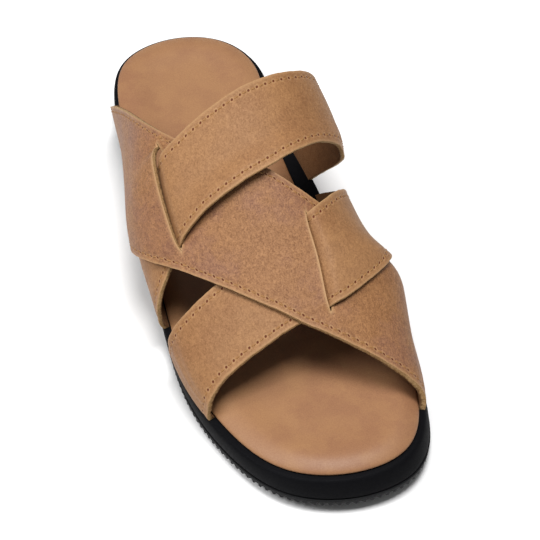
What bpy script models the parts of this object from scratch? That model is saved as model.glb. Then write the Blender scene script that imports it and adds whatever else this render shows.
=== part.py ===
"""Leather slide sandal, right shoe: rubber outsole, foam midsole, leather footbed, woven strap upper.

The frame is in metres, +Z up, with the toe towards -Y, the medial (big toe) side towards +X and the
sole on z = 0. Sizes in this file are millimetres. "along" is the distance from the back of the footbed
towards the toe, and "across" runs over the foot from 0 at the lateral edge to 1 at the medial edge.
"""

from collections import namedtuple

import bmesh
import bpy
import numpy as np

MM = 0.001

# Place of the last in the frame: the back of the footbed and the long axis beside the middle of the box.
HEEL_Y = 140.67
AXIS_X = -0.82

# Clearance between pieces that meet.
GAP = 0.3

# Lean of the sole wall: how far the tread stands to the medial side and ahead of the ledge.
LEAN_X = 1.4
LEAN_ALONG = 3.2
# How far the tread is drawn in under the arch, on the medial side of the waist.
ARCH_TUCK = 4.2
ARCH_ALONG = 98.0
ARCH_LENGTH = 42.0

# Sole heights.
OUTSOLE_THICKNESS = 4.6
OUTSOLE_CHAMFER = 1.1
TOE_SPRING = 4.0
SPRING_START = 203.0
SPRING_END = 279.0
HEEL_LIFT = 1.4
HEEL_LIFT_END = 12.0
WAIST_RISE = 1.5
WAIST_START = 92.0
WAIST_END = 152.0

# Footbed: thickness of its edge above the ledge of the midsole, at the heel and at the toe, and its dish.
FOOTBED_EDGE_HEEL = 2.6
FOOTBED_EDGE_TOE = 4.2
FOOTBED_DISH = 0.8
HEEL_CUP = 1.2
HEEL_CUP_ALONG = 42.0
HEEL_CUP_LENGTH = 34.0

# Leather of the straps.
STRAP_THICKNESS = 2.6
# How far a strap lies over or under the main band at a crossing, sunk a little so that they join.
STACK = 2.1
# Share of the girth over which a strap passes from the upper to the lower side of the band.
DIVE = 0.035
# Share of the girth at each end over which the straps come back to one level beside the footbed.
FADE = 0.07
SLIT_WIDTH = 3.6
SLIT_LIP = 0.9
SLIT_LIP_REACH = 0.05

# Mesh density.
HALF_RING = 46
CAP_COLUMNS = 6
BAND_LINES = 45
STRAP_LINES = 39
BAND_ROWS = 9
STRAP_ROWS = 6
DENSE = 1200
WRAP = 4
SHARP_ANGLE = np.radians(35)

OutlineKnot = namedtuple("OutlineKnot", "along x")
FOOTBED_OUTLINE = (
    OutlineKnot(0.0, 0.0),
    OutlineKnot(10.0, -26.0),
    OutlineKnot(34.0, -35.2),
    OutlineKnot(80.0, -38.7),
    OutlineKnot(125.0, -42.3),
    OutlineKnot(170.0, -45.2),
    OutlineKnot(205.0, -44.6),
    OutlineKnot(239.0, -36.0),
    OutlineKnot(266.0, -19.5),
    OutlineKnot(277.2, 9.0),
    OutlineKnot(270.5, 34.8),
    OutlineKnot(250.5, 46.5),
    OutlineKnot(215.0, 49.0),
    OutlineKnot(175.0, 44.5),
    OutlineKnot(135.0, 35.0),
    OutlineKnot(95.0, 31.2),
    OutlineKnot(55.0, 32.9),
    OutlineKnot(30.0, 35.0),
    OutlineKnot(10.0, 25.8),
)

# Width of the black ledge that shows round the footbed.
Ledge = namedtuple("Ledge", "along lateral medial")
LEDGE_WIDTH = (
    Ledge(0.0, 2.4, 2.4),
    Ledge(30.0, 2.2, 2.6),
    Ledge(60.0, 2.6, 5.4),
    Ledge(90.0, 3.0, 8.8),
    Ledge(115.0, 3.1, 10.2),
    Ledge(135.0, 3.2, 8.2),
    Ledge(160.0, 3.2, 4.8),
    Ledge(215.0, 3.6, 3.3),
    Ledge(245.0, 3.4, 3.0),
    Ledge(277.0, 2.9, 2.8),
)

# Height of the ledge over the floor.
Wedge = namedtuple("Wedge", "along height")
LEDGE_HEIGHT = (
    Wedge(0.0, 21.0),
    Wedge(60.0, 20.0),
    Wedge(120.0, 17.4),
    Wedge(180.0, 15.0),
    Wedge(220.0, 14.8),
    Wedge(250.0, 16.2),
    Wedge(279.0, 18.8),
)

# Profile of the midsole wall: share of its height, and distance out from the edge of the ledge.
WallRow = namedtuple("WallRow", "share out")
MIDSOLE_WALL = (
    WallRow(0.0, -0.9),
    WallRow(0.08, 0.1),
    WallRow(0.45, 0.5),
    WallRow(0.86, 0.1),
    WallRow(0.97, -0.5),
    WallRow(1.0, -1.5),
)

# Profile of the footbed edge: share of its height, and distance out from the footbed outline.
FOOTBED_WALL = (
    WallRow(0.0, -0.5),
    WallRow(0.15, 0.0),
    WallRow(0.5, -0.1),
    WallRow(0.8, -1.0),
    WallRow(0.96, -2.8),
    WallRow(1.0, -5.5),
    WallRow(0.94, -9.0),
)

# The last under the straps: place and height of its crest, and how far each side flares over the sole.
LastSection = namedtuple(
    "LastSection", "along crest_x crest_height lateral_flare medial_flare medial_rise medial_crown"
)
LAST = (
    LastSection(20.0, -3.0, 98.0, 14.0, 10.0, 0.7, 0.8),
    LastSection(60.0, 0.5, 102.0, 11.5, 13.0, 0.7, 0.8),
    LastSection(100.0, 4.5, 101.0, 18.0, 13.4, 0.7, 0.8),
    LastSection(120.0, 5.7, 95.0, 24.0, 15.5, 0.69, 0.78),
    LastSection(130.0, 6.1, 91.0, 27.0, 13.9, 0.667, 0.752),
    LastSection(140.0, 6.5, 86.5, 28.3, 5.6, 0.64, 0.72),
    LastSection(160.0, 7.0, 76.5, 26.0, 3.0, 0.61, 0.68),
    LastSection(180.0, 7.0, 66.5, 21.5, 9.8, 0.62, 0.67),
    LastSection(190.0, 6.35, 61.9, 19.5, 20.5, 0.631, 0.678),
    LastSection(200.0, 5.3, 57.6, 18.0, 18.5, 0.64, 0.69),
    LastSection(220.0, 3.0, 49.5, 16.0, 8.2, 0.65, 0.71),
    LastSection(260.0, 3.0, 34.5, 7.0, 2.5, 0.66, 0.76),
)
# Fullness of the lateral side of the last: how far its curve runs up the side, and out from the crest.
LATERAL_RISE = 0.52
LATERAL_CROWN = 0.6

# Rear and front edge of each strap, as distances along the foot.
StrapRow = namedtuple("StrapRow", "across rear front")
MAIN_BAND = (
    StrapRow(0.0, 37.0, 118.0),
    StrapRow(0.12, 67.0, 149.5),
    StrapRow(0.25, 105.5, 174.8),
    StrapRow(0.38, 136.0, 198.6),
    StrapRow(0.5, 153.0, 216.8),
    StrapRow(0.62, 167.0, 231.6),
    StrapRow(0.75, 174.0, 243.2),
    StrapRow(0.88, 181.0, 248.6),
    StrapRow(1.0, 190.0, 251.0),
)
REAR_STRAP = (
    StrapRow(0.0, 135.0, 175.0),
    StrapRow(0.12, 133.0, 177.0),
    StrapRow(0.25, 129.8, 169.0),
    StrapRow(0.38, 123.4, 159.5),
    StrapRow(0.5, 117.0, 152.8),
    StrapRow(0.62, 111.6, 145.3),
    StrapRow(0.75, 103.5, 136.5),
    StrapRow(0.88, 90.0, 127.3),
    StrapRow(1.0, 68.0, 108.0),
)
FRONT_STRAP = (
    StrapRow(0.0, 191.0, 230.0),
    StrapRow(0.12, 193.0, 231.0),
    StrapRow(0.25, 191.5, 227.2),
    StrapRow(0.38, 186.0, 222.2),
    StrapRow(0.5, 178.6, 216.2),
    StrapRow(0.62, 168.6, 209.2),
    StrapRow(0.75, 157.3, 194.5),
    StrapRow(0.88, 143.5, 178.5),
    StrapRow(1.0, 118.0, 160.0),
)

# Slits of the main band that the two straps pass through.
Slit = namedtuple("Slit", "across rear front")
REAR_SLIT = Slit(0.277, 128.0, 168.5)
FRONT_SLIT = Slit(0.57, 173.5, 214.0)

Finish = namedtuple("Finish", "colour roughness")
RUBBER_FINISH = Finish((0.012, 0.012, 0.014, 1.0), 0.7)
FOAM_FINISH = Finish((0.014, 0.014, 0.016, 1.0), 0.6)
FOOTBED_FINISH = Finish((0.42, 0.21, 0.105, 1.0), 0.5)
STRAP_FINISH = Finish((0.42, 0.22, 0.11, 1.0), 0.65)


def spline(knots, values):
    """Natural cubic curve through the values at the knots."""
    knots = np.asarray(knots, float)
    values = np.asarray(values, float)
    count = len(knots)
    step = np.diff(knots)
    slope = np.diff(values) / step
    matrix = np.eye(count)
    right = np.zeros(count)
    for i in range(1, count - 1):
        matrix[i, i - 1 : i + 2] = step[i - 1], 2 * (step[i - 1] + step[i]), step[i]
        right[i] = 6 * (slope[i] - slope[i - 1])
    bend = np.linalg.solve(matrix, right)

    def curve(at):
        at = np.asarray(at, float)
        i = np.clip(np.searchsorted(knots, at) - 1, 0, count - 2)
        wide = step[i]
        left = (knots[i + 1] - at) / wide
        near = (at - knots[i]) / wide
        bent = bend[i] * (left**3 - left) + bend[i + 1] * (near**3 - near)
        return left * values[i] + near * values[i + 1] + bent * wide**2 / 6

    return curve


def column(rows, name):
    """Spline of one column of a table over its first column."""
    return spline([row[0] for row in rows], [getattr(row, name) for row in rows])


def smooth_step(share):
    """0 before 0, 1 past 1, and a smooth rise between."""
    share = np.clip(share, 0.0, 1.0)
    return share * share * (3 - 2 * share)


def even(points, count):
    """The curve through the points, read at equal steps of its length."""
    travel = np.concatenate([[0], np.cumsum(np.linalg.norm(np.diff(points, axis=0), axis=1))])
    at = np.linspace(0, travel[-1], count)
    return np.stack([np.interp(at, travel, points[:, k]) for k in (0, 1)], axis=1)


def outline_sides():
    """Lateral and medial side of the footbed outline from heel to toe, as rows of (along, x)."""
    knots = np.array(FOOTBED_OUTLINE)
    knots = np.vstack([knots[-WRAP:], knots, knots[: WRAP + 1]])
    travel = np.concatenate([[0], np.cumsum(np.linalg.norm(np.diff(knots, axis=0), axis=1))])
    at = np.linspace(travel[WRAP], travel[-1 - WRAP], DENSE)
    dense = np.stack([spline(travel, knots[:, k])(at) for k in (0, 1)], axis=1)
    toe = np.argmax(dense[:, 0])
    return dense[: toe + 1], dense[toe:][::-1]


LATERAL_SIDE, MEDIAL_SIDE = outline_sides()
LEDGE_TOP = column(LEDGE_HEIGHT, "height")


def base_ring():
    """Footbed outline as a closed ring: lateral side from heel to toe, then medial side back."""
    lateral = even(LATERAL_SIDE, HALF_RING + 1)
    medial = even(MEDIAL_SIDE, HALF_RING + 1)
    return np.vstack([lateral, medial[-2:0:-1]])


def outward(ring):
    """Unit normals of a ring in plan, pointing out of it."""
    tangent = np.roll(ring, -1, axis=0) - np.roll(ring, 1, axis=0)
    normal = np.stack([-tangent[:, 1], tangent[:, 0]], axis=1)
    normal /= np.linalg.norm(normal, axis=1, keepdims=True)
    outside = np.sum(normal * (ring - ring.mean(axis=0)), axis=1).sum()
    return normal if outside > 0 else -normal


RING = base_ring()
RING_NORMAL = outward(RING)


def ledge_width():
    """Width of the ledge at each point of the ring."""
    along = RING[:, 0]
    lateral = column(LEDGE_WIDTH, "lateral")(along)
    medial = column(LEDGE_WIDTH, "medial")(along)
    return np.where(np.arange(len(RING)) <= HALF_RING, lateral, medial)


def arch_tuck():
    """How far the tread is drawn in at each point of the ring."""
    tuck = ARCH_TUCK * np.exp(-(((RING[:, 0] - ARCH_ALONG) / ARCH_LENGTH) ** 2))
    return np.where(np.arange(len(RING)) > HALF_RING, tuck, 0.0)


SOLE_OUT = ledge_width()
TUCK = arch_tuck()


def ground(along):
    """Underside of the outsole: flat heel and forefoot, low waist, toe spring and a lifted heel edge."""
    spring = np.clip((along - SPRING_START) / (SPRING_END - SPRING_START), 0, None)
    lift = np.clip((HEEL_LIFT_END - along) / HEEL_LIFT_END, 0, None)
    waist = np.clip((along - WAIST_START) / (WAIST_END - WAIST_START), 0, 1)
    return TOE_SPRING * spring**2 + HEEL_LIFT * lift**2 + WAIST_RISE * np.sin(np.pi * waist) ** 2


def midsole_foot(along):
    """Underside of the midsole, clear of the outsole."""
    return ground(along) + OUTSOLE_THICKNESS + GAP


def footbed_foot(along):
    """Underside of the footbed, clear of the midsole."""
    return LEDGE_TOP(along) + GAP


def footbed_edge(along):
    """Thickness of the footbed at its rim."""
    share = smooth_step(along / RING[:, 0].max())
    return FOOTBED_EDGE_HEEL + (FOOTBED_EDGE_TOE - FOOTBED_EDGE_HEEL) * share


def placed(along, x, height):
    """Points of the frame, in metres."""
    return np.stack([AXIS_X + x, HEEL_Y - along, height], axis=-1) * MM


def ring_at(out, height, lean=0.0):
    """Ring moved out from the footbed outline and leant, at a height that is a function of along."""
    plan = RING + RING_NORMAL * np.reshape(out - lean * TUCK, (-1, 1))
    plan = plan + lean * np.array([LEAN_ALONG, LEAN_X])
    return placed(plan[:, 0], plan[:, 1], height(plan[:, 0]))


class RingSolid:
    """Closed solid of stacked rings, closed at both ends by rows of faces from side to side."""

    def __init__(self):
        self.mesh = bmesh.new()

    def ring(self, points):
        return [self.mesh.verts.new(point) for point in points]

    def wall(self, lower, upper):
        count = len(lower)
        for i in range(count):
            k = (i + 1) % count
            self.mesh.faces.new((lower[i], lower[k], upper[k], upper[i]))

    def cap(self, ring, sag):
        """Fills a ring with rows between its two sides, lowered inside by the function sag."""
        rows = [[ring[0]]]
        for i in range(1, HALF_RING):
            rows.append(self.cap_row(ring[i], ring[-i], sag))
        rows.append([ring[HALF_RING]])
        for first, second in zip(rows, rows[1:]):
            self.strip(first, second)

    def cap_row(self, lateral, medial, sag):
        row = [lateral]
        for k in range(1, CAP_COLUMNS):
            share = k / CAP_COLUMNS
            point = lateral.co.lerp(medial.co, share)
            point.z -= sag(HEEL_Y - point.y / MM, share) * MM
            row.append(self.mesh.verts.new(point))
        return row + [medial]

    def strip(self, first, second):
        if len(first) == 1:
            for a, b in zip(second, second[1:]):
                self.mesh.faces.new((first[0], a, b))
        elif len(second) == 1:
            for a, b in zip(first, first[1:]):
                self.mesh.faces.new((a, b, second[0]))
        else:
            for a, b, c, d in zip(first, first[1:], second[1:], second):
                self.mesh.faces.new((a, b, c, d))

    def finish(self, name, finish):
        bmesh.ops.recalc_face_normals(self.mesh, faces=self.mesh.faces)
        mesh = bpy.data.meshes.new(name)
        self.mesh.to_mesh(mesh)
        self.mesh.free()
        return add_object(name, mesh, finish)


def add_object(name, mesh, finish):
    """Object with its own material, shaded smooth across all but the sharp edges."""
    material = bpy.data.materials.new(name)
    material.use_nodes = True
    shader = material.node_tree.nodes["Principled BSDF"]
    shader.inputs["Base Color"].default_value = finish.colour
    shader.inputs["Roughness"].default_value = finish.roughness
    shader.inputs["Metallic"].default_value = 0.0
    mesh.materials.append(material)
    mesh.shade_smooth()
    mesh.set_sharp_from_angle(angle=SHARP_ANGLE)
    made = bpy.data.objects.new(name, mesh)
    bpy.context.scene.collection.objects.link(made)
    return made


def flat(along, share):
    """No sag: the rows of a cap follow its ring."""
    return 0.0


def build_outsole():
    """Rubber plate with a chamfered tread edge."""
    solid = RingSolid()
    tread = solid.ring(ring_at(SOLE_OUT - OUTSOLE_CHAMFER, ground, 1.0))
    edge = solid.ring(ring_at(SOLE_OUT, lambda along: ground(along) + OUTSOLE_CHAMFER, 1.0))
    top = solid.ring(ring_at(SOLE_OUT, lambda along: ground(along) + OUTSOLE_THICKNESS, 1.0))
    solid.wall(tread, edge)
    solid.wall(edge, top)
    solid.cap(tread, flat)
    solid.cap(top, flat)
    return solid.finish("outsole", RUBBER_FINISH)


def build_midsole():
    """Foam wedge: rounded wall up to a ledge, level across under the footbed."""
    solid = RingSolid()
    rings = []
    for row in MIDSOLE_WALL:

        def height(along, share=row.share):
            low = midsole_foot(along)
            return low + share * (LEDGE_TOP(along) - low)

        rings.append(solid.ring(ring_at(SOLE_OUT + row.out, height, 1.0 - row.share)))
    for lower, upper in zip(rings, rings[1:]):
        solid.wall(lower, upper)
    solid.cap(rings[0], flat)
    solid.cap(rings[-1], flat)
    return solid.finish("midsole", FOAM_FINISH)


def footbed_dish(along, share):
    """Hollow of the footbed top: shallow all along and deeper in the heel cup."""
    cup = np.exp(-(((along - HEEL_CUP_ALONG) / HEEL_CUP_LENGTH) ** 2))
    return (FOOTBED_DISH + HEEL_CUP * cup) * np.sin(np.pi * share) ** 1.5


def build_footbed():
    """Leather covered insole with a rounded rim and a dished top."""
    solid = RingSolid()
    rings = []
    for row in FOOTBED_WALL:

        def height(along, share=row.share):
            return footbed_foot(along) + share * footbed_edge(along)

        rings.append(solid.ring(ring_at(np.full(len(RING), row.out), height)))
    for lower, upper in zip(rings, rings[1:]):
        solid.wall(lower, upper)
    solid.cap(rings[0], flat)
    solid.cap(rings[-1], footbed_dish)
    return solid.finish("footbed", FOOTBED_FINISH)


def bezier(start, rise, crown, end, share):
    """Cubic curve from start to end, drawn by two handles."""
    rest = 1 - share
    return rest**3 * start + 3 * rest**2 * share * rise + 3 * rest * share**2 * crown + share**3 * end


def last_point(across, along):
    """Surface of the last as columns (along, x, height): one arch from ledge to crest on each side."""
    crest_x = column(LAST, "crest_x")(along)
    crest = column(LAST, "crest_height")(along)
    foot = LEDGE_TOP(along) + GAP
    clear = GAP + STRAP_THICKNESS / 2
    lateral_clear = np.maximum(column(LEDGE_WIDTH, "lateral")(along) - clear, clear)
    medial_clear = np.maximum(column(LEDGE_WIDTH, "medial")(along) - clear, clear)
    lateral = np.interp(along, LATERAL_SIDE[:, 0], LATERAL_SIDE[:, 1]) - lateral_clear
    medial = np.interp(along, MEDIAL_SIDE[:, 0], MEDIAL_SIDE[:, 1]) + medial_clear
    near = np.clip(2 * across, 0, 1)
    far = np.clip(2 - 2 * across, 0, 1)
    lateral_x = bezier(
        lateral,
        lateral - column(LAST, "lateral_flare")(along),
        crest_x - LATERAL_CROWN * (crest_x - lateral),
        crest_x,
        near,
    )
    medial_x = bezier(
        medial,
        medial + column(LAST, "medial_flare")(along),
        crest_x + column(LAST, "medial_crown")(along) * (medial - crest_x),
        crest_x,
        far,
    )
    lateral_z = bezier(foot, foot + LATERAL_RISE * (crest - foot), crest, crest, near)
    medial_rise = column(LAST, "medial_rise")(along)
    medial_z = bezier(foot, foot + medial_rise * (crest - foot), crest, crest, far)
    is_lateral = across <= 0.5
    return np.stack(
        [along, np.where(is_lateral, lateral_x, medial_x), np.where(is_lateral, lateral_z, medial_z)],
        axis=-1,
    )


def last_normal(across, along):
    """Unit normal of the last, pointing away from the foot."""
    turn = 0.001
    move = 0.5
    girth = last_point(np.clip(across + turn, 0, 1), along) - last_point(np.clip(across - turn, 0, 1), along)
    length = last_point(across, along + move) - last_point(across, along - move)
    normal = np.cross(length, girth)
    return normal / np.linalg.norm(normal, axis=-1, keepdims=True)


def ends_fade(across):
    """1 over the foot, falling to 0 at both ends of a strap."""
    return smooth_step(across / FADE) * smooth_step((1 - across) / FADE)


def strap_level(slit):
    """Height of a strap over the last: above the band on the medial side of its slit, below it beyond."""

    def level(across, along):
        return STACK * np.tanh((across - slit.across) / DIVE) * ends_fade(across)

    return level


def band_level(across, along):
    """Height of the main band over the last: the lateral lip of each slit lifts and the medial lip dips."""
    total = np.zeros_like(across)
    for slit in (REAR_SLIT, FRONT_SLIT):
        aside = (across - slit.across) / SLIT_LIP_REACH
        inside = np.clip((along - slit.rear) / (slit.front - slit.rear), 0, 1)
        total -= SLIT_LIP * np.sign(aside) * np.exp(-(aside**2)) * np.sin(np.pi * inside)
    return total


def lines_with(count, marks):
    """Even lines from 0 to 1, with those next to a mark replaced by the mark."""
    lines = np.linspace(0, 1, count)
    near = 0.5 / count
    kept = [line for line in lines if all(abs(line - mark) > near for mark in marks)]
    return np.array(sorted(kept + list(marks)))


def slit_marks(rows, slits):
    """Grid lines that bound the slits: across the foot, and as shares of the strap's width."""
    across = []
    wide = []
    for slit in slits:
        rear = column(rows, "rear")(slit.across)
        front = column(rows, "front")(slit.across)
        girth = last_point(np.array([slit.across - 0.01, slit.across + 0.01]), np.full(2, slit.rear))
        half = SLIT_WIDTH / 2 * 0.02 / np.linalg.norm(girth[1] - girth[0])
        across += [slit.across - half, slit.across + half]
        wide += [(slit.rear - rear) / (front - rear), (slit.front - rear) / (front - rear)]
    return across, wide


def strap_mesh(name, rows, level, lines, row_count, slits=()):
    """Slab of leather on the last, with the cells inside its slits left out."""
    across_marks, wide_marks = slit_marks(rows, slits)
    across_lines = lines_with(lines, across_marks)
    wide_lines = lines_with(row_count, wide_marks)
    across, wide = np.meshgrid(across_lines, wide_lines, indexing="ij")
    rear = column(rows, "rear")(across)
    along = rear + wide * (column(rows, "front")(across) - rear)
    middle = last_point(across, along)
    normal = last_normal(across, along)
    height = level(across, along)[..., None]
    half = STRAP_THICKNESS / 2
    faces_of = []
    for side in (half, -half):
        sheet = middle + normal * (height + side)
        for end in (0, -1):
            sheet[end, :, 2] = LEDGE_TOP(sheet[end, :, 0]) + GAP
        faces_of.append(placed(sheet[..., 0], sheet[..., 1], sheet[..., 2]).reshape(-1, 3))
    kept = np.ones((len(across_lines) - 1, len(wide_lines) - 1), bool)
    for i in range(0, len(across_marks), 2):
        inside_across = (across_lines[:-1] >= across_marks[i]) & (across_lines[:-1] < across_marks[i + 1])
        inside_wide = (wide_lines[:-1] >= wide_marks[i]) & (wide_lines[:-1] < wide_marks[i + 1])
        kept[np.ix_(inside_across, inside_wide)] = False
    return slab(name, faces_of, kept)


def slab(name, sheets, kept):
    """Closed mesh between two sheets of one grid, walled along every edge of the kept cells."""
    index = np.arange((kept.shape[0] + 1) * (kept.shape[1] + 1)).reshape(kept.shape[0] + 1, -1)
    below = index.size
    faces = []
    edges = {}
    for i, k in zip(*np.nonzero(kept)):
        cell = (index[i, k], index[i + 1, k], index[i + 1, k + 1], index[i, k + 1])
        faces.append(cell)
        faces.append(tuple(below + corner for corner in reversed(cell)))
        for a, b in zip(cell, cell[1:] + cell[:1]):
            edges[(a, b)] = True
    for a, b in edges:
        if (b, a) not in edges:
            faces.append((b, a, below + a, below + b))
    mesh = bpy.data.meshes.new(name)
    mesh.from_pydata(np.vstack(sheets).tolist(), [], [[int(corner) for corner in face] for face in faces])
    solid = bmesh.new()
    solid.from_mesh(mesh)
    loose = [vertex for vertex in solid.verts if not vertex.link_faces]
    bmesh.ops.delete(solid, geom=loose, context="VERTS")
    bmesh.ops.recalc_face_normals(solid, faces=solid.faces)
    solid.to_mesh(mesh)
    solid.free()
    return mesh


def build_upper():
    """Main band with the two straps joined to it where they cross."""
    slits = (REAR_SLIT, FRONT_SLIT)
    band = strap_mesh("upper", MAIN_BAND, band_level, BAND_LINES, BAND_ROWS, slits)
    upper = add_object("upper", band, STRAP_FINISH)
    for name, rows, slit in (
        ("rear_strap", REAR_STRAP, REAR_SLIT),
        ("front_strap", FRONT_STRAP, FRONT_SLIT),
    ):
        mesh = strap_mesh(name, rows, strap_level(slit), STRAP_LINES, STRAP_ROWS)
        strap = add_object(name, mesh, STRAP_FINISH)
        strap.hide_render = True
        strap.display_type = "WIRE"
        join = upper.modifiers.new("join_" + name, "BOOLEAN")
        join.operation = "UNION"
        join.solver = "EXACT"
        join.object = strap
    return upper


def clear_scene():
    for old in list(bpy.data.objects):
        bpy.data.objects.remove(old, do_unlink=True)


clear_scene()
build_outsole()
build_midsole()
build_footbed()
build_upper()
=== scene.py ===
"""Looks of a tan leather slide sandal, the right shoe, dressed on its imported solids.

The frame is in metres with +Z up, the toe towards -Y, the medial (big toe) side towards +X and the sole
on z = 0. Sizes in this file are millimetres. "along" is the distance from the back of the footbed towards
the toe. "across" runs over the foot from 0 at the lateral edge to 1 at the medial edge. "wide" runs over a
strap from 0 at its rear edge to 1 at its front edge.
"""

import logging
from dataclasses import dataclass, replace
from enum import Enum
from typing import Any, Callable, NamedTuple, Optional, Sequence

import bmesh
import bpy
import numpy as np
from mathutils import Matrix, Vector
from numpy.typing import NDArray


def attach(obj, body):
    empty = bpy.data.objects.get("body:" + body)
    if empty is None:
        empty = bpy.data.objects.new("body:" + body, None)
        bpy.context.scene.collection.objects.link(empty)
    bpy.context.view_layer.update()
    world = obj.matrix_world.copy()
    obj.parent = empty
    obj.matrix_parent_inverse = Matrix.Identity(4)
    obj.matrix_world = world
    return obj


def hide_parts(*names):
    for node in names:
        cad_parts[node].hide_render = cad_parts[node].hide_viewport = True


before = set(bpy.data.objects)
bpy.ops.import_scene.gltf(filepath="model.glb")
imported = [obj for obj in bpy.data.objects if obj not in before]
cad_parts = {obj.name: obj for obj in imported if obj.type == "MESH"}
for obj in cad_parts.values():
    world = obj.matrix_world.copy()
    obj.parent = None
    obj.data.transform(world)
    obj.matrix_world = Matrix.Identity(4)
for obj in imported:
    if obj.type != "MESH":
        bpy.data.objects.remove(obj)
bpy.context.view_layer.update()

log = logging.getLogger("sandal")

Array = NDArray[np.float64]
Indices = NDArray[np.int64]
Mask = NDArray[np.bool_]
Tree = bpy.types.NodeTree
MM = 0.001
BODY = "root"

# Place of the last in the frame, and the clearance between pieces that meet.
HEEL_Y = 140.67
AXIS_X = -0.82
GAP = 0.3

# Points closer than this many metres are one, and faces that meet at more than this angle keep an edge.
WELD = 1e-6
SHARP_ANGLE = 50.0


class Edge(Enum):
    """The two long edges of a strap."""

    REAR = "rear"
    FRONT = "front"


class Face(Enum):
    """Material slot of each kind of strap surface."""

    GRAIN = 0
    FLESH = 1
    CUT = 2


class OutlineKnot(NamedTuple):
    """A point of the footbed outline."""

    along: float
    x: float


class Ledge(NamedTuple):
    """Width of the black ledge round the footbed on each side."""

    along: float
    lateral: float
    medial: float


class Wedge(NamedTuple):
    """Height of the ledge over the floor."""

    along: float
    height: float


class LastSection(NamedTuple):
    """A cross-section of the last: its crest, and how far and how full its sides stand out."""

    along: float
    crest_x: float
    crest_height: float
    lateral_flare: float
    medial_flare: float
    medial_rise: float
    medial_crown: float


class StrapRow(NamedTuple):
    """Rear and front edge of a strap at one place across the foot."""

    across: float
    rear: float
    front: float


class Slit(NamedTuple):
    """A cut in the main band, and how far its lips part at the rear and the front end."""

    across: float
    rear: float
    front: float
    lip_rear: float
    lip_front: float

    def share(self, along: Array) -> Array:
        """Place between the ends of the slit: 0 at the rear end, 1 at the front end."""
        return (along - self.rear) / (self.front - self.rear)


class Crease(NamedTuple):
    """A soft trough in the leather, along a line across the strap."""

    across: float
    slant: float
    depth: float
    breadth: float


class Waver(NamedTuple):
    """A sine wave along a cut edge: its pace over the foot, its size and how far it is shifted."""

    pace: float
    size: float
    shift: float


class WallRow(NamedTuple):
    """A row of a wall: its height, and its distance out from the edge it follows."""

    height: float
    out: float


def table(kind: Callable[..., Any], *rows: tuple[float, ...]) -> tuple[Any, ...]:
    """Rows of a table, each made from its bare numbers."""
    return tuple(kind(*row) for row in rows)


class Curve:
    """Natural cubic curve: a cubic between each pair of knots, with its slope and bend running on."""

    def __init__(self, knots: Sequence[float], values: Sequence[float]) -> None:
        """Solves for the bend at each knot.

        Args:
            knots: rising places of the knots.
            values: value of the curve at each knot.
        """
        self.knots = np.asarray(knots, float)
        self.values = np.asarray(values, float)
        self.step = np.diff(self.knots)
        slope = np.diff(self.values) / self.step
        matrix = np.diag(np.concatenate([[1.0], 2 * (self.step[:-1] + self.step[1:]), [1.0]]))
        matrix[1:-1, :-2] += np.diag(self.step[:-1])
        matrix[1:-1, 2:] += np.diag(self.step[1:])
        self.bend = np.linalg.solve(matrix, np.concatenate([[0.0], 6 * np.diff(slope), [0.0]]))

    def __call__(self, at: Any) -> Array:
        """Reads the curve.

        Args:
            at: place or places to read.

        Returns:
            The values there.
        """
        at = np.asarray(at, float)
        i = np.clip(np.searchsorted(self.knots, at) - 1, 0, len(self.knots) - 2)
        wide = self.step[i]
        before = (self.knots[i + 1] - at) / wide
        after = (at - self.knots[i]) / wide
        bent = self.bend[i] * (before**3 - before) + self.bend[i + 1] * (after**3 - after)
        return before * self.values[i] + after * self.values[i + 1] + bent * wide**2 / 6


def column(rows: Sequence[Any], name: str) -> Curve:
    """Curve of one named column of a table over its first column."""
    return Curve([row[0] for row in rows], [getattr(row, name) for row in rows])


def smooth_step(share: Any) -> Array:
    """0 before 0, 1 past 1, and a smooth rise between: 3 s^2 - 2 s^3."""
    share = np.clip(share, 0.0, 1.0)
    return share * share * (3 - 2 * share)


def bump_at(away: Array, breadth: float) -> Array:
    """Bell curve exp(-(away / breadth)^2): 1 at the middle, falling to 0."""
    return np.exp(-((away / breadth) ** 2))


def bezier(start: Array, rise: Array, crown: Array, end: Array, share: Array) -> Array:
    """Cubic curve from start to end, drawn by two handles, read at a share from 0 to 1."""
    rest = 1 - share
    return rest**3 * start + 3 * rest**2 * share * rise + 3 * rest * share**2 * crown + share**3 * end


def travel(points: Array) -> Array:
    """Length travelled along a line of points, up to each of them."""
    return np.concatenate([[0.0], np.cumsum(np.linalg.norm(np.diff(points, axis=0), axis=1))])


def walked(points: Array, run: Array, at: Array) -> Array:
    """Points at given lengths along a line of points, straight between each pair."""
    return np.stack([np.interp(at, run, points[:, k]) for k in range(points.shape[1])], axis=-1)


def unit(vectors: Array) -> Array:
    """Vectors of length 1 in the same directions."""
    return vectors / np.linalg.norm(vectors, axis=-1, keepdims=True)


def spaced(count: int, marks: Sequence[float]) -> Array:
    """Even places from 0 to 1, of which those beside a mark give way to it.

    Args:
        count: number of even places.
        marks: places that have to be among them.

    Returns:
        The places in order.
    """
    lines = np.linspace(0, 1, count)
    near = np.min(np.abs(lines[:, None] - np.array(marks)), axis=1, initial=np.inf)
    return np.sort(np.concatenate([lines[near > 0.5 / count], marks]))


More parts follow.
